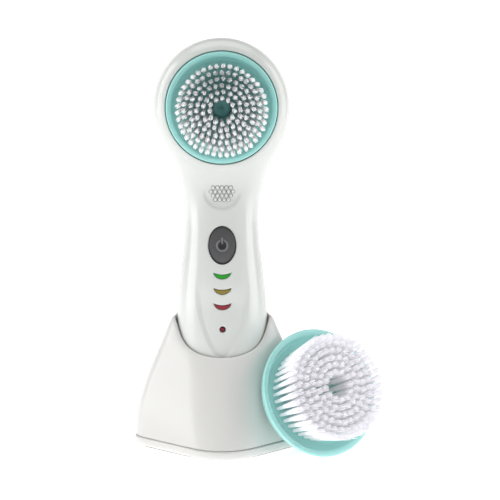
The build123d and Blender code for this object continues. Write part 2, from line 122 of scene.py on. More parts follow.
# power button: how far its top, base and flange are in front of the centreline, and its sign
BUTTON_TOP, BUTTON_BASE, FLANGE_HEIGHT = 14.1, 9.9, 10.0
BUTTON_CROWN, BUTTON_HOLLOW, BUTTON_EDGE_ROUND = 0.75, 0.35, 1.1
FLANGE_WIDTH, FLANGE_HALF_THICKNESS = 0.8, 0.3
SIGN_RADIUS, SIGN_HALF_LINE, SIGN_GAP, SIGN_RAISED = 2.35, 0.36, 0.8, 0.3
SIGN_BAR_MIDDLE, SIGN_BAR_HALF_LENGTH, SIGN_BAR_HALF_WIDTH = 2.1, 1.4, 0.34

# brush heads
LIP_RADIUS, SPARE_LIP_RADIUS = 24.3, 28.7
DISH_BACK, DISH_FLOOR, DISH_RIM, BRISTLE_REACH = 7.4, 9.0, 14.2, 14.0
HUB_RADIUS, HUB_NECK_RADIUS, HUB_BACK, HUB_FRONT = 5.0, 4.2, 5.9, 10.2

# stand sections: height, half width, front point, side corner y, rear half width, rear y
COVER_HEIGHTS = np.array([5.0, 22.0, 40.0, 62.0])
COVER_WIDTHS = np.array([40.6, 38.4, 31.8, 22.9])
COVER_FRONTS = np.array([35.0, 29.4, 22.3, 15.0])
COVER_SIDES = np.array([-6.0, -5.0, -3.0, -1.0])
COVER_REAR_WIDTHS = np.array([33.0, 30.0, 24.0, 16.0])
COVER_REARS = np.array([30.0, 29.0, 27.0, 24.0])
LIP_Y, LIP_Z, SADDLE_Y, SADDLE_Z = -14.2, 46.7, 1.0, 63.2
STAND_ROUNDINGS = (17.0, 5.0, 6.0)
MOUTH_BEND, MOUTH_ROUND, SOCKET_EDGE_ROUND, SOCKET_FLOOR_ROUND = 5.0, 6.0, 2.2, 6.0
SOCKET_CLEARANCE, COVER_WALL = 0.45, 2.4
SOCKET_HALF_WIDTH = max(HALF_WIDTHS[:4]) + SOCKET_CLEARANCE
INLET_RADIUS, INLET_HEIGHT, INLET_FRONT = 4.1, 11.0, 20.0
TRAY_TOP, TRAY_FLOOR, TRAY_FOOT, TRAY_FOOT_ROUND, PAD_THICKNESS = 5.0, 3.8, 0.3, 3.5, 1.2
TRAY_OVERHANG, TRAY_JOINT_GAP, PAD_INSET = 0.5, 0.05, 3.4


# ---------------------------------------------------------------- fields: negative inside
def smooth_max(a, b, k):
    h = np.clip(0.5 + 0.5 * (a - b) / k, 0, 1)
    return b * (1 - h) + a * h + k * h * (1 - h)


def smooth_min(a, b, k):
    return -smooth_max(-a, -b, k)


def smooth_step(value):
    """0 below 0, 1 above 1, smooth between."""
    t = np.clip(value, 0, 1)
    return t * t * (3 - 2 * t)


def curve(at, places, values):
    """Smooth curve through (place, value) pairs: cubic Hermite with averaged slopes."""
    places, values = np.asarray(places, float), np.asarray(values, float)
    slopes = np.gradient(values, places)
    at = np.clip(at, places[0], places[-1])
    k = np.clip(np.searchsorted(places, at, side="right") - 1, 0, len(places) - 2)
    span = places[k + 1] - places[k]
    t = (at - places[k]) / span
    return (values[k] * (2 * t ** 3 - 3 * t ** 2 + 1) + values[k + 1] * (3 * t ** 2 - 2 * t ** 3)
            + slopes[k] * span * (t ** 3 - 2 * t ** 2 + t) + slopes[k + 1] * span * (t ** 3 - t ** 2))


def wand_coordinates(p):
    """Station along the bent centreline, distance in front of it, and x."""
    rel = p - wand_foot
    x, y, z = rel[..., 0], rel @ wand_back, rel @ wand_up
    around = np.arctan2(z - BEND_START, y + BEND_RADIUS)
    turn = np.clip(around, 0, TILT)
    from_centre_y, from_centre_z = y + BEND_RADIUS, z - BEND_START
    along = from_centre_z * np.cos(turn) - from_centre_y * np.sin(turn)
    out = from_centre_y * np.cos(turn) + from_centre_z * np.sin(turn)
    return BEND_START + turn * BEND_RADIUS + along, BEND_RADIUS - out, x


def head_coordinates(p):
    """Distance from the head's axis, and height along it."""
    rel = p - head_centre
    return np.hypot(rel[..., 0], rel @ head_up), rel @ head_out


def oval_field(across, through, half_width, half_depth, n):
    """Approximate distance to a squared oval; n = 2 is an ellipse."""
    u, v = np.abs(across) / half_width, np.abs(through) / half_depth
    q = np.maximum(u ** n + v ** n, 1e-3) ** (1 / n)
    slope = q ** (1 - n) * np.hypot(u ** (n - 1) / half_width, v ** (n - 1) / half_depth)
    return np.clip((q - 1) / np.maximum(slope, 0.3 / half_width), *FIELD_RANGE)


def grip_field(p):
    s, a, x = wand_coordinates(p)
    depth = np.where(a > 0, curve(s, STATIONS, FRONTS), curve(s, STATIONS, BACKS))
    side = oval_field(x, a, curve(s, STATIONS, HALF_WIDTHS), depth, curve(s, STATIONS, SQUARENESS))
    body = smooth_max(side, WAND_BOTTOM - s, FOOT_ROUND)
    return smooth_max(body, s - GRIP_TOP, GRIP_TOP_ROUND)


def head_field(p):
    r, a = head_coordinates(p)
    in_front = a > HEAD_WIDEST
    corner = np.where(in_front, HEAD_FRONT_ROUND, HEAD_BACK_ROUND)
    depth = np.where(in_front, HEAD_FRONT - HEAD_WIDEST, HEAD_WIDEST - HEAD_BACK)
    u = np.maximum(r - HEAD_RADIUS + corner, 0) / corner
    v = np.abs(a - HEAD_WIDEST) / depth
    q = np.sqrt(np.maximum(u * u + v * v, 1e-4))
    slope = np.hypot(u / corner, v / depth) / q
    return np.clip((q - 1) / slope, *FIELD_RANGE)


def crease_depth(s, a, x):
    """How far the front panel of the grip is sunk below the sides near the foot."""
    half = curve(s, CREASE_STATIONS, CREASE_HALF_WIDTHS)
    fade = smooth_step((CREASE_TOP - s) / CREASE_FADE)
    across = smooth_step((half + 1.0 - np.abs(x)) / CREASE_SLOPE_WIDTH)
    return CREASE_DEPTH * fade * across * (a > 0)


def pad_depth(s, a, x):
    """Shallow thumb hollow round the grip bumps, sharpest at its lower edge."""
    reach = np.hypot(x / PAD_HALF_WIDTH, (s - PAD_STATION) / PAD_HALF_HEIGHT)
    lower = smooth_step((PAD_STATION + 5.0 - s) / 8.0)
    return PAD_DEPTH * smooth_step((1 - reach) / 0.2) * lower * (a > 0)


def outer_field(p):
    s, a, x = wand_coordinates(p)
    body = smooth_min(grip_field(p), head_field(p), NECK_BLEND)
    return body + crease_depth(s, a, x) + pad_depth(s, a, x)


def ellipse_field(u, v, half_u, half_v):
    """Approximate distance to an ellipse."""
    q = np.hypot(u / half_u, v / half_v)
    slope = np.hypot(u / half_u ** 2, v / half_v ** 2) / np.maximum(q, 1e-3)
    return (q - 1) / np.maximum(slope, 1 / max(half_u, half_v))


def smile_field(x, up):
    """Crescent between two arcs through its pointed ends."""
    def arc_below(sag):
        radius = (SMILE_HALF_WIDTH ** 2 + sag ** 2) / (2 * sag)
        return np.hypot(x, up - radius + sag) - radius
    return np.maximum(arc_below(SMILE_LOW), -arc_below(SMILE_HIGH))


def front_holes(s, a, x):
    """Openings through the front wall; positive in the hole."""
    hole = -ellipse_field(x, s - BUTTON_STATION,
                          BUTTON_HALF_WIDTH + BUTTON_GAP, BUTTON_HALF_HEIGHT + BUTTON_GAP)
    for station in SMILE_STATIONS.values():
        hole = np.maximum(hole, -smile_field(x, s - station))
    hole = np.maximum(hole, CHARGE_RADIUS - np.hypot(x, s - CHARGE_STATION))
    return np.minimum(hole, a - OPENING_BACK)


def shell_field(p):
    """Hollow casing with the brush recess, before it is parted."""
    s, a, x = wand_coordinates(p)
    outer = outer_field(p)
    r, h = head_coordinates(p)
    wall = np.maximum(outer, -outer - CASING_WALL)
    cup = np.maximum(np.maximum(r - RECESS_RADIUS - CASING_WALL, RECESS_FLOOR - RECESS_WALL - h), outer)
    shell = smooth_min(wall, cup, CUP_BLEND)
    recess = np.minimum(RECESS_RADIUS - r, h - RECESS_FLOOR)
    shell = smooth_max(shell, recess, EDGE_ROUND)
    shell = np.maximum(shell, SPINDLE_HOLE_RADIUS - r)
    return smooth_max(shell, front_holes(s, a, x), OPENING_ROUND)


def front_shell_field(p):
    _, a, _ = wand_coordinates(p)
    return smooth_max(shell_field(p), PARTING + PARTING_GAP / 2 - a, EDGE_ROUND)


def back_shell_field(p):
    s, a, x = wand_coordinates(p)
    outer = outer_field(p)
    wall = np.maximum(outer, -outer - CASING_WALL)
    shell = smooth_max(wall, a - PARTING + PARTING_GAP / 2, EDGE_ROUND)
    for side, station in SCREW_PLACES:
        across = SCREW_POCKET_RADIUS - np.hypot(x - side, s - station)
        shell = smooth_max(shell, np.minimum(across, -a - SCREW_POCKET_FLOOR), EDGE_ROUND)
    return shell


def lens_field(face):
    """A window filled to just below the casing's surface."""
    def field(p):
        s, a, x = wand_coordinates(p)
        body = smooth_max(outer_field(p) + LENS_SUNK, face(x, s) + LENS_CLEARANCE, LENS_ROUND)
        return np.maximum(body, LENS_BACK - a)
    return field


def smile_tone(p, station):
    """0 at the edge of a speed window, 1 well inside it."""
    s, _, x = wand_coordinates(p)
    return -smile_field(x, s - station) / LENS_SHADE_WIDTH


def charge_tone(p):
    """0 at the edge of the charge window, 1 well inside it."""
    s, _, x = wand_coordinates(p)
    return (CHARGE_RADIUS - np.hypot(x, s - CHARGE_STATION)) / LENS_SHADE_WIDTH


def button_tone(p):
    """Painted light on the button: 0.5 on the cap, 1 on the raised sign as painted highlight, 0 inside its
    ring and at the rim as painted shade.
    """
    s, _, x = wand_coordinates(p)
    up = s - BUTTON_STATION
    symbol = smooth_step(0.5 - power_symbol(x, up) / 0.3)
    inside = smooth_step((2.1 - np.hypot(x, up)) / 0.4) * (1 - symbol)
    rim = smooth_step(1 + ellipse_field(x, up, BUTTON_HALF_WIDTH, BUTTON_HALF_HEIGHT) / 1.3)
    return 0.5 + 0.5 * symbol - 0.5 * np.maximum(inside, rim)


def power_symbol(x, up):
    """Distance to the generic power sign: a ring open at the top, and a bar."""
    ring = np.abs(np.hypot(x, up) - SIGN_RADIUS) - SIGN_HALF_LINE
    gap = np.maximum(np.abs(x) - SIGN_GAP, -up)
    bar = np.maximum(np.abs(x) - SIGN_BAR_HALF_WIDTH, np.abs(up - SIGN_BAR_MIDDLE) - SIGN_BAR_HALF_LENGTH)
    return np.minimum(np.maximum(ring, -gap), bar)


def button_field(p):
    """Crowned cap with a raised sign in a slight hollow, and the flange that keeps it in."""
    s, a, x = wand_coordinates(p)
    up = s - BUTTON_STATION
    edge = ellipse_field(x, up, BUTTON_HALF_WIDTH, BUTTON_HALF_HEIGHT)
    dome = BUTTON_CROWN * ((x / BUTTON_HALF_WIDTH) ** 2 + (up / BUTTON_HALF_HEIGHT) ** 2)
    dish = BUTTON_HOLLOW * np.exp(-(x * x + up * up) / 6.0)
    symbol = smooth_step(0.5 - power_symbol(x, up) / 0.36)
    cap = smooth_max(edge, a - BUTTON_TOP + dome + dish - SIGN_RAISED * symbol, BUTTON_EDGE_ROUND)
    cap = np.maximum(cap, BUTTON_BASE - a)
    rim = ellipse_field(x, up, BUTTON_HALF_WIDTH + FLANGE_WIDTH, BUTTON_HALF_HEIGHT + FLANGE_WIDTH)
    return np.minimum(cap, np.maximum(rim, np.abs(a - FLANGE_HEIGHT) - FLANGE_HALF_THICKNESS))


def five_sided(x, y, width, front, side_y, rear_width, rear_y, rounding):
    """Stand outline: two front faces, two sides and a back, blended by rounding = (front, side, rear)."""
    side = np.abs(x)
    front_length = np.hypot(width, side_y + front)
    front_face = (side * (side_y + front) - (y + front) * width) / front_length
    lean_x, lean_y = width - rear_width, rear_y - side_y
    side_length = np.hypot(lean_x, lean_y)
    side_face = ((side - width) * lean_y + (y - side_y) * lean_x) / side_length
    mirrored = (-side * (side_y + front) - (y + front) * width) / front_length
    vertex = smooth_max(front_face, mirrored, rounding[0])
    shape = smooth_max(vertex, side_face, rounding[1])
    return smooth_max(shape, y - rear_y, rounding[2])


def stand_side_field(p, grow=0.0):
    x, y, z = p[..., 0], p[..., 1], p[..., 2]
    at = np.clip(z, 0.0, 75.0)

    def section(values):
        return np.polyval(np.polyfit(COVER_HEIGHTS, values, 3), at)
    return five_sided(x, y, section(COVER_WIDTHS), section(COVER_FRONTS), section(COVER_SIDES),
                      section(COVER_REAR_WIDTHS), section(COVER_REARS), STAND_ROUNDINGS) - grow


def mouth_field(p):
    """Positive above the stand's sloping mouth and its level back."""
    y, z = p[..., 1], p[..., 2]
    rise = (SADDLE_Z - LIP_Z) / (SADDLE_Y - LIP_Y)
    slope = (z - LIP_Z - rise * (y - LIP_Y)) / math.hypot(1, rise)
    return smooth_max(slope, z - SADDLE_Z, MOUTH_BEND)


def socket_field(p):
    """Straight shaft for the wand, as wide as the widest section of its foot."""
    rel = p - wand_foot
    x, y, z = rel[..., 0], rel @ wand_back, rel @ wand_up
    depth = np.where(y < 0, FRONTS[0], BACKS[0]) + SOCKET_CLEARANCE
    side = oval_field(x, y, SOCKET_HALF_WIDTH, depth, SQUARENESS[0])
    return smooth_max(side, WAND_BOTTOM - SOCKET_CLEARANCE - z, SOCKET_FLOOR_ROUND)


def cover_field(p):
    z = p[..., 2]
    outer = smooth_max(stand_side_field(p), mouth_field(p), MOUTH_ROUND)
    socket = socket_field(p)
    inside = np.maximum(outer + COVER_WALL, COVER_WALL - socket)
    body = np.maximum(outer, -inside)
    body = smooth_max(body, -socket, SOCKET_EDGE_ROUND)
    body = smooth_max(body, TRAY_TOP + TRAY_JOINT_GAP - z, EDGE_ROUND)
    inlet = np.minimum(INLET_RADIUS - np.hypot(p[..., 0], z - INLET_HEIGHT), p[..., 1] - INLET_FRONT)
    return np.maximum(body, inlet)


def tray_field(p):
    z = p[..., 2]
    flat = p.copy()
    flat[..., 2] = TRAY_TOP
    side = stand_side_field(flat, TRAY_OVERHANG)
    body = smooth_max(side, TRAY_FOOT - z, TRAY_FOOT_ROUND)
    body = smooth_max(body, z - TRAY_TOP + TRAY_JOINT_GAP, EDGE_ROUND)
    hollow = np.maximum(side + COVER_WALL, TRAY_FLOOR - z)
    pad_seat = np.maximum(side + PAD_INSET, z - PAD_THICKNESS)
    return np.maximum(body, -np.minimum(hollow, pad_seat))


# ---------------------------------------------------------------- meshes
GRID_LAYERS, NEWTON_STEPS = 12, 4
SETTLE_REACH, NORMAL_REACH = 0.04, 0.12


def sampled(field, low, high, step):
    """The field's values on a grid, worked out a few layers at a time."""
    count = np.ceil((high - low) / step).astype(int) + 1
    axes = [low[i] + step * np.arange(count[i]) for i in range(3)]
    values = np.empty(count)
    for start in range(0, count[0], GRID_LAYERS):
        part = np.meshgrid(axes[0][start:start + GRID_LAYERS], axes[1], axes[2], indexing="ij")
        values[start:start + GRID_LAYERS] = field(np.stack(part, -1))
    return values


def surface_cells(inside):
    """The cells that the surface passes through, and a grid that numbers them."""
    nx, ny, nz = (n - 1 for n in inside.shape)
    corners = sum(inside[dx:nx + dx, dy:ny + dy, dz:nz + dz].astype(np.int8)
                  for dx in (0, 1) for dy in (0, 1) for dz in (0, 1))
    active = (corners > 0) & (corners < 8)
    cells = np.argwhere(active)
    index = np.full(active.shape, -1, np.int64)
    index[active] = np.arange(len(cells))
    return cells, index


def edge_crossings(values, cells):
    """For each cell, the sum of the places where its edges cross the surface, and their number."""
    total, hits = np.zeros((len(cells), 3)), np.zeros(len(cells))
    for axis in range(3):
        others = [i for i in range(3) if i != axis]
        for one in (0, 1):
            for two in (0, 1):
                start = np.zeros(3, int)
                start[others[0]], start[others[1]] = one, two
                end = start.copy()
                end[axis] = 1
                fa, fb = values[tuple((cells + start).T)], values[tuple((cells + end).T)]
                cross = (fa < 0) != (fb < 0)
                t = np.where(cross, fa / np.where(fa == fb, 1, fa - fb), 0)
                point = cells + start + t[:, None] * (end - start)
                total[cross] += point[cross]
                hits[cross] += 1
    return total, hits[:, None]


def surface_quads(inside, index):
    """A quad round each grid edge that the surface crosses, facing outwards."""
    quads = []
    for axis in range(3):
        b, c = (axis + 1) % 3, (axis + 2) % 3
        first = np.moveaxis(inside, (axis, b, c), (0, 1, 2))
        ids = np.moveaxis(index, (axis, b, c), (0, 1, 2))
        change = first[:-1, 1:-1, 1:-1] != first[1:, 1:-1, 1:-1]
        i, j, k = np.nonzero(change)
        around = np.stack([ids[i, j, k], ids[i, j + 1, k], ids[i, j + 1, k + 1], ids[i, j, k + 1]], 1)
        enters = first[:-1, 1:-1, 1:-1][i, j, k]
        around[~enters] = around[~enters][:, ::-1]
        quads.append(around)
    return np.concatenate(quads)


def settled(field, points, step):
    """Points pulled onto the surface by Newton steps of half a cell at most."""
    for _ in range(NEWTON_STEPS):
        value, gradient = field(points), slope_of(field, points, SETTLE_REACH)
        square = np.maximum((gradient ** 2).sum(1), 0.05)
        move = -(value / square)[:, None] * gradient
        length = np.linalg.norm(move, axis=1)
        move *= np.minimum(1, 0.5 * step / np.maximum(length, 1e-9))[:, None]
        points = points + move
    return points


def surface(name, field, low, high, step):
    """Mesh of field = 0 inside a box, in millimetres: surface nets, then points pulled onto the surface."""
    low, high = np.asarray(low, float), np.asarray(high, float)
    values = sampled(field, low, high, step)
    inside = values < 0
    cells, index = surface_cells(inside)
    total, hits = edge_crossings(values, cells)
    points = settled(field, low + step * total / hits, step)
    normals = slope_of(field, points, NORMAL_REACH)
    normals /= np.maximum(np.linalg.norm(normals, axis=1), 1e-9)[:, None]
    return make_mesh(name, points, surface_quads(inside, index).tolist(), normals)


def store(thing, tone, values):
    """Keeps a value for each point, which the thing's material reads."""
    layer = thing.data.attributes.new(tone, "FLOAT", "POINT")
    layer.data.foreach_set("value", values)


def set_tone(thing, tone, tone_of):
    points = np.empty(len(thing.data.vertices) * 3)
    thing.data.vertices.foreach_get("co", points)
    store(thing, tone, tone_of(points.reshape(-1, 3) / MM))


def slope_of(field, points, reach):
    gradient = np.empty_like(points)
    for axis in range(3):
        offset = np.zeros(3)
        offset[axis] = reach
        gradient[:, axis] = (field(points + offset) - field(points - offset)) / (2 * reach)
    return gradient


def make_mesh(name, points, faces, normals=None):
    mesh = bpy.data.meshes.new(name)
    mesh.from_pydata((np.asarray(points) * MM).tolist(), [], faces)
    mesh.polygons.foreach_set("use_smooth", [True] * len(mesh.polygons))
    mesh.update()
    if normals is not None:
        mesh.normals_split_custom_set_from_vertices(normals.tolist())
    thing = bpy.data.objects.new(name, mesh)
    bpy.context.scene.collection.objects.link(thing)
    return thing


def basis(out, side):
    """Rows are local x, y, z in the row frame."""
    return np.array([side, np.cross(out, side), out])


HEAD_BASIS = basis(head_out, X_AXIS)
SPARE_BASIS = basis(spare_out, spare_side)


def lathe(name, profile, segments, rows, origin):
    """Turns a profile of (radius, height) points about the axis; ends on the axis or closes on itself."""
    angles = 2 * np.pi * np.arange(segments) / segments
    ring = np.stack([np.cos(angles), np.sin(angles)], 1)
    points, faces, count = [], [], len(profile)
    for radius, height in profile:
        local = np.concatenate([ring * radius, np.full((segments, 1), height)], 1)
        points.append(local)
    points = np.concatenate(points) @ rows + origin
    for k in range(count):
        after = (k + 1) % count
        for j in range(segments):
            beside = (j + 1) % segments
            faces.append((k * segments + j, k * segments + beside,
                          after * segments + beside, after * segments + j))
    return make_mesh(name, points, faces)


def rounded_profile(corners, steps=5):
    """Closed (radius, height) outline whose corners (r, h, rounding) are arcs."""
    profile, count = [], len(corners)
    for k, (r, h, rounding) in enumerate(corners):
        here = np.array([r, h])
        before = np.array(corners[k - 1][:2]) - here
        after = np.array(corners[(k + 1) % count][:2]) - here
        if rounding <= 0:
            profile.append((r, h))
            continue
        start = here + before / np.linalg.norm(before) * rounding
        end = here + after / np.linalg.norm(after) * rounding
        for i in range(steps + 1):
            t = i / steps
            point = start * (1 - t) ** 2 + here * 2 * t * (1 - t) + end * t ** 2
            profile.append(tuple(point))
    return profile


def join(name, things):
    """One object from several."""
    bpy.ops.object.select_all(action="DESELECT")
    for thing in things:
        thing.select_set(True)
    bpy.context.view_layer.objects.active = things[0]
    bpy.ops.object.join()
    things[0].name = name
    things[0].data.name = name
    return things[0]


# ---------------------------------------------------------------- brush heads
SPARE_SCALE = SPARE_LIP_RADIUS / LIP_RADIUS
TUFT_RINGS = range(2, 8)
TUFT_PITCH, TUFT_GATHER, TUFT_SCATTER, TUFT_UNEVEN = 2.7, 0.92, 0.13, 0.25
TUFT_FOOT_RADIUS, TUFT_FOOT_SUNK, TUFT_CROWN = 0.5, 0.3, 0.45
FILAMENTS, FILAMENT_RADIUS, FILAMENT_SCATTER, FILAMENT_UNEVEN = 50, 0.125, 0.07, 0.3
FILAMENT_LEVELS, FILAMENT_SIDES = (0.0, 0.45, 0.8, 1.0), 3
FILAMENT_TAPER_FROM, FILAMENT_TAPER = 0.75, 0.45
INNER_GLOW, TUFT_EDGE_DIMMING = 0.4, 0.6
HUB_BORE, HUB_SOCKET_TOP, HUB_CROWN = 2.6, 9.3, HUB_FRONT + 0.6


def dish_profile(k):
    """Dish of the brush head, k times the size of the fitted one, its hub hole unchanged."""
    def at(r, h, rounding):
        return (r * k, DISH_BACK + (h - DISH_BACK) * k, rounding * k)
    floor = DISH_BACK + (DISH_FLOOR - DISH_BACK) * k
    return rounded_profile([
        (HUB_NECK_RADIUS, DISH_BACK, 0),
        at(21.9, DISH_BACK, 1.2),
        at(23.0, 9.2, 1.0),
        at(24.35, 12.8, 0.9),
        at(24.2, 14.3, 0.6),
        at(22.3, 13.9, 1.2),
        at(20.9, 10.1, 1.7),
        at(18.9, DISH_FLOOR, 1.7),
        (HUB_NECK_RADIUS, floor, 0),
    ])


def make_dish(name, k, rows, origin):
    return lathe(name, dish_profile(k), 160, rows, origin)


def make_hub(name, rows, origin):
    neck, shoulder = HUB_NECK_RADIUS - 0.1, DISH_BACK - 0.05
    profile = rounded_profile([
        (HUB_BORE, HUB_BACK, 0), (HUB_RADIUS, HUB_BACK, 0.3), (HUB_RADIUS, shoulder, 0.2),
        (neck, shoulder, 0), (neck, HUB_CROWN, 0.9), (0.05, HUB_CROWN, 0),
        (0.05, HUB_SOCKET_TOP, 0), (HUB_BORE, HUB_SOCKET_TOP, 0.2),
    ], 4)
    return lathe(name, profile, 64, rows, origin)


def filament_points(foot, away, low, high, radius, turn):
    """Rings of points up one filament, which bends outwards and tapers at its tip."""
    points = []
    for level in FILAMENT_LEVELS:
        middle = foot + away * level ** 1.2
        past = max(0, level - FILAMENT_TAPER_FROM) / (1 - FILAMENT_TAPER_FROM)
        thick = radius * (1.0 - FILAMENT_TAPER * past)
        for side in range(FILAMENT_SIDES):
            c = 2 * math.pi * side / FILAMENT_SIDES + turn
            points.append((middle[0] + thick * math.cos(c), middle[1] + thick * math.sin(c),
                           low + (high - low) * level))
    return points


def filament_faces():
    """Faces of one filament, numbered from its first point."""
    faces, n = [], FILAMENT_SIDES
    for start in range(0, n * (len(FILAMENT_LEVELS) - 1), n):
        for side in range(n):
            beside = (side + 1) % n
            faces.append((start + side, start + beside, start + n + beside, start + n + side))
    last = n * (len(FILAMENT_LEVELS) - 1)
    return faces + [tuple(range(last, last + n)), tuple(range(n - 1, -1, -1))]


def make_tufts(name, k, tip_radius, tip_glow, side_glow, rows, origin, seed):
    """Six-fold rings of tufts, each a bundle of tapering filaments that spread a little at the tip."""
    rng = np.random.default_rng(seed)
    low = DISH_BACK + (DISH_FLOOR - DISH_BACK) * k - TUFT_FOOT_SUNK
    top = DISH_BACK + (DISH_RIM - DISH_BACK + BRISTLE_REACH) * k
    points, faces, shades, glows = [], [], [], []
    one_filament = filament_faces()
    for ring, place_in_ring in [(ring, i) for ring in TUFT_RINGS for i in range(6 * ring)]:
        angle = 2 * math.pi * (place_in_ring + 0.25 * (ring % 2)) / (6 * ring)
        ring_point = TUFT_PITCH * ring * k * np.array([math.cos(angle), math.sin(angle)])
        tip_centre = ring_point + rng.normal(0, TUFT_SCATTER, 2)
        reach = top - rng.uniform(0, TUFT_UNEVEN) * k
        side = side_glow * (1.0 if ring == max(TUFT_RINGS) else INNER_GLOW)
        for _ in range(FILAMENTS):
            spread = math.sqrt(rng.uniform())
            turn = rng.uniform(0, 2 * math.pi)
            across = spread * k * np.array([math.cos(turn), math.sin(turn)])
            foot = ring_point * TUFT_GATHER + TUFT_FOOT_RADIUS * across
            away = tip_centre + tip_radius * across - foot + rng.normal(0, FILAMENT_SCATTER, 2)
            high = reach - (TUFT_CROWN * spread ** 2 + rng.uniform(0, FILAMENT_UNEVEN)) * k
            tip = tip_glow * (1 - TUFT_EDGE_DIMMING * spread ** 2)
            faces += [tuple(i + len(points) for i in face) for face in one_filament]
            points += filament_points(foot, away, low, high, FILAMENT_RADIUS * k, turn)
            for level in FILAMENT_LEVELS:
                shades += [level] * FILAMENT_SIDES
                glows += [side if level < 1 else tip] * FILAMENT_SIDES
    thing = make_mesh(name, np.array(points) @ rows + origin, faces)
    store(thing, "along", shades)
    store(thing, "glow", glows)
    return thing


# ---------------------------------------------------------------- wand
BUMP_ROWS, BUMP_PITCH = (5, 6, 5, 4), 1.95


def on_wand(station, forward, x):
    """Point in the row frame at a station, in front of the centreline."""
    back, up, turn = spine(station)
    back -= forward * math.cos(turn)
    up -= forward * math.sin(turn)
    return wand_foot + x * X_AXIS + back * wand_back + up * wand_up


def casing_point(station, x):
    """Point on the casing's front at a station, and frame vectors there: outward, across, up."""
    forward = 20.0
    for _ in range(24):
        forward -= outer_field(on_wand(station, forward, x)[None])[0]
    point = on_wand(station, forward, x)
    outward = slope_of(outer_field, point[None], 0.1)[0]
    outward /= np.linalg.norm(outward)
    across = X_AXIS - outward * outward[0]
    across /= np.linalg.norm(across)
    return point, outward, across, np.cross(outward, across)


def low_dome(name, place_on, half_width, half_height, height, sunk):
    """Blunt oval dome on a (point, outward, across, up) place, its foot sunk below the surface."""
    point, outward, across, up = place_on
    rings, segments = 6, 18
    points, faces = [], []
    for i in range(rings + 1):
        turn = 0.5 * math.pi * i / rings
        tall = math.sin(turn) ** 0.8 * height - sunk
        wide = math.cos(turn) ** 0.7 if i < rings else 0.02
        for j in range(segments):
            c = 2 * math.pi * j / segments
            points.append(point + across * half_width * wide * math.cos(c)
                          + up * half_height * wide * math.sin(c) + outward * tall)
    for i in range(rings):
        for j in range(segments):
            b = (j + 1) % segments
            faces.append((i * segments + j, i * segments + b, (i + 1) * segments + b, (i + 1) * segments + j))
    faces.append(tuple(range(segments - 1, -1, -1)))
    faces.append(tuple(range(rings * segments, (rings + 1) * segments)))
    return make_mesh(name, points, faces)


def make_bumps():
    """Four staggered rows of low oval bumps under the thumb, and dark grey discs under them that paint the
    shade between the bumps.
    """
    bumps, shade_discs = [], []
    for row, count in enumerate(BUMP_ROWS):
        for k in range(count):
            spot = casing_point(PAD_STATION + (1.5 - row) * BUMP_PITCH, (k - (count - 1) / 2) * BUMP_PITCH)
            bumps.append(low_dome("bump", spot, 0.72, 0.82, 0.85, 0.2))
            # a dark grey disc under each bump: painted shade in the gaps between bumps
            shade_discs.append(low_dome("shade_discs", spot, 1.25, 1.3, 0.3, 0.22))
    return join("grip_bumps", bumps), join("grip_shade_discs", shade_discs)


def wand_box(low_station, high_station, half_width, front, back):
    """Row-frame box round a stretch of the wand."""
    corners = [on_wand(s, a, x) for s in (low_station, high_station) for a in (-back, front)
               for x in (-half_width, half_width)]
    corners = np.array(corners)
    return corners.min(0), corners.max(0)


# ---------------------------------------------------------------- materials
def new_material(name):
    material = bpy.data.materials.new(name)
    material.use_nodes = True
    tree = material.node_tree
    return material, tree, tree.nodes["Principled BSDF"]


def noise(tree, scale, detail, stretch=1):
    """Noise in the piece's own space, squeezed along z where stretch is over 1."""
    space = tree.nodes.new("ShaderNodeTexCoord").outputs["Object"]
    if stretch != 1:
        mapping = tree.nodes.new("ShaderNodeMapping")
        mapping.inputs["Scale"].default_value = (1, 1, stretch)
        tree.links.new(space, mapping.inputs["Vector"])
        space = mapping.outputs["Vector"]
    node = tree.nodes.new("ShaderNodeTexNoise")
    node.inputs["Scale"].default_value = scale
    node.inputs["Detail"].default_value = detail
    tree.links.new(space, node.inputs["Vector"])
    return node.outputs["Fac"]


def stored(tree, name):
    """The value that store() keeps for each point."""
    node = tree.nodes.new("ShaderNodeAttribute")
    node.attribute_name = name
    return node.outputs["Fac"]


def ramp(tree, source, low, high, low_value, high_value):
    """Maps source from low..high to low_value..high_value."""
    node = tree.nodes.new("ShaderNodeMapRange")
    node.inputs["From Min"].default_value = low
    node.inputs["From Max"].default_value = high
    node.inputs["To Min"].default_value = low_value
    node.inputs["To Max"].default_value = high_value
    tree.links.new(source, node.inputs["Value"])
    return node.outputs["Result"]


def colour_mix(tree, source, first, second, low=0.35, high=0.65):
    node = tree.nodes.new("ShaderNodeMix")
    node.data_type = "RGBA"
    node.inputs[6].default_value = (*first, 1)
    node.inputs[7].default_value = (*second, 1)
    tree.links.new(ramp(tree, source, low, high, 0, 1), node.inputs[0])
    return node.outputs[2]


def add_bump(tree, shader, source, distance):
    node = tree.nodes.new("ShaderNodeBump")
    node.inputs["Distance"].default_value = distance
    tree.links.new(source, node.inputs["Height"])
    tree.links.new(node.outputs["Normal"], shader.inputs["Normal"])


def plastic(name, colour, variation, roughness, coat=0.0, subsurface=0.0, grain=900, grain_depth=0.000004):
    """Moulded plastic: slight colour drift, uneven gloss and a fine skin."""
    material, tree, shader = new_material(name)
    drift = noise(tree, 45, 4)
    darker = tuple(max(0, c - variation) for c in colour)
    lighter = tuple(min(1, c + variation) for c in colour)
    tree.links.new(colour_mix(tree, drift, darker, lighter), shader.inputs["Base Color"])
    patch = noise(tree, 130, 2)
    tree.links.new(ramp(tree, patch, 0.0, 1.0, roughness * 0.93, roughness * 1.1), shader.inputs["Roughness"])
    shader.inputs["Coat Weight"].default_value = coat
    shader.inputs["Coat Roughness"].default_value = 0.12
    shader.inputs["Subsurface Weight"].default_value = subsurface
    shader.inputs["Subsurface Radius"].default_value = (1.0, 0.9, 0.8)
    shader.inputs["Subsurface Scale"].default_value = 0.002
    add_bump(tree, shader, noise(tree, grain, 2), grain_depth)
    return material


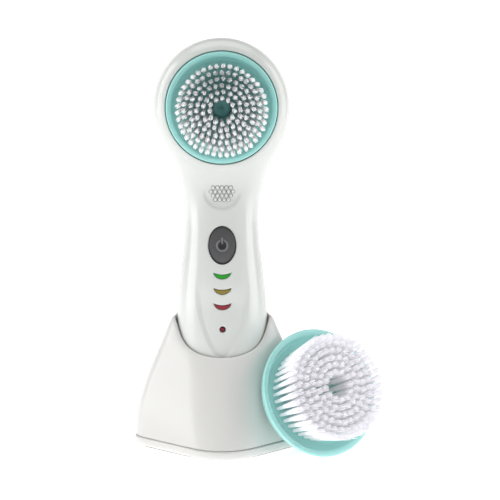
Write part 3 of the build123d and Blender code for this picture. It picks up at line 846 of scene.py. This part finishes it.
def button_rubber(name):
    """Dark grey soft-touch cap with painted highlight on its raised sign, and painted shade inside the sign's
    ring and at the rim.
    """
    material, tree, shader = new_material(name)
    sign_light_shade = stored(tree, "sign_light_shade")
    base = colour_mix(tree, sign_light_shade, (0.022, 0.022, 0.024), (0.075, 0.075, 0.078), 0.0, 0.5)
    top = tree.nodes.new("ShaderNodeMix")
    top.data_type = "RGBA"
    top.inputs[7].default_value = (0.16, 0.16, 0.165, 1)
    tree.links.new(ramp(tree, sign_light_shade, 0.5, 1.0, 0, 1), top.inputs[0])
    tree.links.new(base, top.inputs[6])
    tree.links.new(top.outputs[2], shader.inputs["Base Color"])
    tree.links.new(ramp(tree, noise(tree, 160, 4), 0.3, 0.7, 0.34, 0.46), shader.inputs["Roughness"])
    add_bump(tree, shader, noise(tree, 1600, 2), 0.00001)
    return material


def lens(name, colour, glow, edge=(0.15, 0.65)):
    """Tinted window over a lamp, with painted light: it glows itself, and is brighter inside and darker
    towards its edges as if the lamp shone through; slightly uneven inside.
    """
    material, tree, shader = new_material(name)
    darker = tuple(c * 0.12 for c in colour)
    uneven = tree.nodes.new("ShaderNodeMath")
    uneven.operation = "MULTIPLY_ADD"
    tree.links.new(noise(tree, 900, 3), uneven.inputs[0])
    uneven.inputs[1].default_value = 0.3
    tree.links.new(stored(tree, "inward"), uneven.inputs[2])
    tree.links.new(colour_mix(tree, uneven.outputs[0], darker, colour, *edge), shader.inputs["Base Color"])
    shader.inputs["Roughness"].default_value = 0.18
    shader.inputs["Coat Weight"].default_value = 0.2
    # painted glow: the window gives off light of its own colour
    shader.inputs["Emission Color"].default_value = (*colour, 1)
    shader.inputs["Emission Strength"].default_value = glow
    add_bump(tree, shader, noise(tree, 1500, 2), 0.00001)
    return material


def metal(name, colour, roughness, stretch=1):
    """Bare metal with fine uneven gloss; a stretch over 1 gives it a brushed grain."""
    material, tree, shader = new_material(name)
    grain = noise(tree, 400, 4, stretch)
    darker = tuple(c * 0.85 for c in colour)
    tree.links.new(colour_mix(tree, grain, darker, colour), shader.inputs["Base Color"])
    tree.links.new(ramp(tree, grain, 0.3, 0.7, roughness * 0.7, roughness * 1.3), shader.inputs["Roughness"])
    shader.inputs["Metallic"].default_value = 1.0
    add_bump(tree, shader, grain, 0.00001)
    return material


def bristle_nylon(name, foot, tip):
    """Fine filaments, darker towards the foot and tinted there towards the dish's colour as painted shade and
    painted reflected light between the tufts; a stored glow stands for the light they pass on.
    """
    material, tree, shader = new_material(name)
    tone = colour_mix(tree, stored(tree, "along"), foot, tip, 0.1, 0.7)
    tree.links.new(tone, shader.inputs["Base Color"])
    tree.links.new(tone, shader.inputs["Emission Color"])
    tree.links.new(stored(tree, "glow"), shader.inputs["Emission Strength"])
    shader.inputs["Roughness"].default_value = 0.45
    shader.inputs["Subsurface Weight"].default_value = 0.35
    shader.inputs["Subsurface Radius"].default_value = (1.0, 1.0, 1.0)
    shader.inputs["Subsurface Scale"].default_value = 0.0008
    shader.inputs["Sheen Weight"].default_value = 0.15
    return material


def make_materials():
    return {
        "pearl": plastic("pearl_white", (0.69, 0.71, 0.685), 0.008, 0.2, coat=0.45, subsurface=0.06),
        "cover": plastic("cover_white", (0.72, 0.715, 0.695), 0.004, 0.3, coat=0.25, subsurface=0.06),
        "button": button_rubber("button_grey"),
        # painted shade: dark grey for the discs that darken the gaps between the grip bumps
        "hollow": plastic("painted_shade_grey", (0.26, 0.26, 0.24), 0.03, 0.5),
        "teal": plastic("teal", (0.38, 0.77, 0.73), 0.02, 0.22, coat=0.3, subsurface=0.05),
        "hub": plastic("hub_teal", (0.16, 0.46, 0.43), 0.015, 0.35),
        # foot colours are painted shade and painted teal reflection between the tufts; tip colours are the
        # nylon's own
        "bristle": bristle_nylon("bristle_nylon", (0.70, 0.82, 0.82), (0.96, 0.96, 0.97)),
        "spare_bristle": bristle_nylon("spare_nylon", (0.88, 0.91, 0.92), (0.92, 0.91, 0.95)),
        "green": lens("lens_green", (0.03, 0.30, 0.03), 0.12),
        "amber": lens("lens_amber", (0.22, 0.17, 0.02), 0.10),
        "red": lens("lens_red", (0.26, 0.02, 0.03), 0.05),
        "charge": lens("lens_charge", (0.20, 0.01, 0.03), 0.03, (0.45, 1.1)),
        "led": plastic("led_epoxy", (0.8, 0.8, 0.7), 0.02, 0.15),
        "seal": plastic("seal_rubber", (0.12, 0.13, 0.14), 0.02, 0.6, grain=1500, grain_depth=0.00002),
        "pad": plastic("pad_rubber", (0.16, 0.16, 0.16), 0.02, 0.75, grain=1200, grain_depth=0.00004),
        "steel": metal("steel", (0.62, 0.62, 0.63), 0.3, 12),
        "bright": metal("zinc_steel", (0.72, 0.72, 0.74), 0.2),
        "bronze": metal("bronze", (0.62, 0.42, 0.2), 0.35),
        "copper": metal("copper_wire", (0.72, 0.33, 0.16), 0.3, 12),
        "acetal": plastic("acetal", (0.8, 0.8, 0.76), 0.015, 0.35),
        "board": plastic("board_laminate", (0.02, 0.16, 0.07), 0.02, 0.4, grain=300, grain_depth=0.00003),
        "black": plastic("black_plastic", (0.02, 0.02, 0.02), 0.008, 0.45, grain=1400, grain_depth=0.00002),
        "cell": plastic("cell_wrap", (0.05, 0.16, 0.42), 0.02, 0.25, coat=0.4),
        "ferrite": plastic("ferrite", (0.06, 0.06, 0.065), 0.02, 0.6, grain=700, grain_depth=0.00003),
    }


NODE_MATERIALS = {
    "shell_gasket": "seal", "shell_screws": "steel", "speed_led_green": "led", "speed_led_amber": "led",
    "speed_led_red": "led", "charge_led": "led", "control_board": "board", "button_switch": "black",
    "battery": "cell", "battery_bracket": "black", "receiving_coil": "copper", "receiving_ferrite": "ferrite",
    "motor_can": "bright", "motor_end_cap": "black", "motor_shaft": "steel", "motor_pinion": "bronze",
    "idler_wheel": "acetal", "idler_pinion": "acetal", "idler_pin": "steel", "output_gear": "acetal",
    "gear_plate": "steel", "plate_screws": "steel", "rear_bush": "bronze", "front_bush": "bronze",
    "spindle_seal": "seal", "drive_spindle": "steel", "spindle_clip": "steel", "stand_base_pad": "pad",
    "stand_screws": "steel", "sending_coil": "copper", "sending_ferrite": "ferrite", "ballast_plate": "steel",
    "charger_board": "board", "dc_inlet": "black", "dc_inlet_pin": "steel",
}


def dress(thing, material):
    thing.data.materials.clear()
    thing.data.materials.append(material)


def place(thing, body, material, slot, *nodes):
    """A finished piece: its material, the body it rides on and what it stands for."""
    dress(thing, material)
    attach(thing, body)
    if nodes:
        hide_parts(*nodes)


# ---------------------------------------------------------------- stage
def make_stage():
    """Pale floor that curves up into a wall far behind."""
    depth, rise, bend = 1.6, 1.4, 0.5
    points, faces = [], []
    half = 2.2
    outline = [(-1.6, 0.0), (depth - bend, 0.0)]
    for k in range(1, 13):
        turn = 0.5 * math.pi * k / 12
        outline.append((depth - bend + bend * math.sin(turn), bend - bend * math.cos(turn)))
    outline.append((depth, rise))
    for y, z in outline:
        points += [(-half / MM, y / MM, z / MM), (half / MM, y / MM, z / MM)]
    for k in range(len(outline) - 1):
        faces.append((2 * k, 2 * k + 1, 2 * k + 3, 2 * k + 2))
    floor = make_mesh("floor", points, faces)
    material, tree, shader = new_material("floor_white")
    tree.links.new(colour_mix(tree, noise(tree, 3, 2), (0.93, 0.93, 0.93), (0.95, 0.95, 0.95)),
                   shader.inputs["Base Color"])
    shader.inputs["Roughness"].default_value = 0.9
    shader.inputs["Specular IOR Level"].default_value = 0.1
    shader.inputs["Emission Color"].default_value = (1, 1, 1, 1)
    shader.inputs["Emission Strength"].default_value = 0.62
    dress(floor, material)


def area_light(name, location, target, size, power):
    data = bpy.data.lights.new(name, "AREA")
    data.shape = "RECTANGLE"
    data.size, data.size_y = size
    data.energy = power
    light = bpy.data.objects.new(name, data)
    bpy.context.scene.collection.objects.link(light)
    light.location = location
    aim = Vector(target) - Vector(location)
    light.rotation_euler = aim.to_track_quat("-Z", "Y").to_euler()


def make_lights():
    centre = (0.005, 0, 0.09)
    area_light("left_softbox", (-0.8, -0.22, 0.3), centre, (0.5, 0.9), 4.8)
    area_light("right_softbox", (0.8, -0.22, 0.3), centre, (0.5, 0.9), 4.1)
    area_light("top_softbox", (0.0, -0.15, 0.95), centre, (0.9, 0.7), 3.2)
    world = bpy.data.worlds.new("studio")
    bpy.context.scene.world = world
    world.use_nodes = True
    world.node_tree.nodes["Background"].inputs["Color"].default_value = (1, 1, 1, 1)
    world.node_tree.nodes["Background"].inputs["Strength"].default_value = 0.18
    bpy.context.scene.view_settings.view_transform = "Standard"


def make_camera():
    data = bpy.data.cameras.new("camera")
    camera = bpy.data.objects.new("camera", data)
    bpy.context.scene.collection.objects.link(camera)
    data.sensor_width = 36.0
    data.lens = 76.8
    data.clip_start, data.clip_end = 0.01, 20
    camera.location = (-0.004, -0.47409, 0.16432)
    camera.rotation_euler = (math.radians(81), 0, math.radians(-2.0))
    bpy.context.scene.camera = camera


# ---------------------------------------------------------------- everything
def make_wand(materials):
    step = 0.5
    low, high = wand_box(0, 182, 34, 22, 22)
    front = surface("front_casing", front_shell_field, low, high, step)
    place(front, "wand", materials["pearl"], "pearl_white", "front_shell")
    back = surface("back_casing", back_shell_field, low, high, step)
    place(back, "wand", materials["pearl"], "pearl_white", "back_shell")
    bumps, shade_discs = make_bumps()
    place(bumps, "wand", materials["pearl"], "pearl_white")
    # the grey discs are painted shade between the grip bumps
    place(shade_discs, "wand", materials["hollow"], "button_grey")
    for colour, station in SMILE_STATIONS.items():
        field = lens_field(lambda x, s, station=station: smile_field(x, s - station))
        low, high = wand_box(station - 6, station + 4, 5.5, 17, -9)
        piece = surface("speed_window_" + colour, field, low, high, 0.16)
        set_tone(piece, "inward", lambda p, station=station: smile_tone(p, station))
        place(piece, "wand", materials[colour], "lens_" + colour, "speed_lens_" + colour)
    field = lens_field(lambda x, s: np.hypot(x, s - CHARGE_STATION) - CHARGE_RADIUS)
    low, high = wand_box(CHARGE_STATION - 3, CHARGE_STATION + 3, 3, 17, -9)
    piece = surface("charge_window", field, low, high, 0.14)
    set_tone(piece, "inward", charge_tone)
    place(piece, "wand", materials["charge"], "lens_charge", "charge_lens")
    low, high = wand_box(BUTTON_STATION - 11, BUTTON_STATION + 11, 8, 16, -8.5)
    button = surface("button_cap", button_field, low, high, 0.2)
    # stored value paints highlight on the sign and shade inside its ring and at the rim
    set_tone(button, "sign_light_shade", button_tone)
    place(button, "button", materials["button"], "button_grey", "power_button")


def make_heads(materials):
    low, high = (np.array(corner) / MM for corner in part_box("spare_bristles"))
    tuft_middle = DISH_BACK + (DISH_FLOOR + DISH_RIM + BRISTLE_REACH - 2 * DISH_BACK) * SPARE_SCALE / 2
    spare_origin = (low + high) / 2 - spare_out * tuft_middle
    heads = (("brush", "brush_head", "bristle", 1.0, 1.05, (0.5, 0.1), HEAD_BASIS, head_centre),
             ("spare", "spare_head", "spare_bristle", SPARE_SCALE, 1.15, (0.34, 0.3),
              SPARE_BASIS, spare_origin))
    for number, (prefix, body, nylon, size, tip_radius, glows, rows, origin) in enumerate(heads):
        dish = make_dish(prefix + "_bowl", size, rows, origin)
        place(dish, body, materials["teal"], "teal", prefix + "_dish")
        hub = make_hub(prefix + "_boss", rows, origin)
        place(hub, body, materials["hub"], "hub_teal", prefix + "_hub")
        tufts = make_tufts(prefix + "_tufts", size, tip_radius, *glows, rows, origin, RANDOM_SEED + number)
        place(tufts, body, materials[nylon], "bristle", prefix + "_bristles")


def make_stand(materials):
    step = 0.55
    cover = surface("cradle_cover", cover_field, (-43, -36, 2), (43, 34, 66), step)
    place(cover, "stand", materials["cover"], "cover_white", "stand_cover")
    tray = surface("cradle_tray", tray_field, (-44, -37, -1), (44, 35, 8), step)
    place(tray, "stand", materials["cover"], "cover_white", "stand_tray")


def finish_cad_nodes(materials):
    for node, kind in NODE_MATERIALS.items():
        dress(frame["nodes"][node], materials[kind])


make_camera()
make_lights()
make_stage()
all_materials = make_materials()
make_wand(all_materials)
make_heads(all_materials)
make_stand(all_materials)
finish_cad_nodes(all_materials)
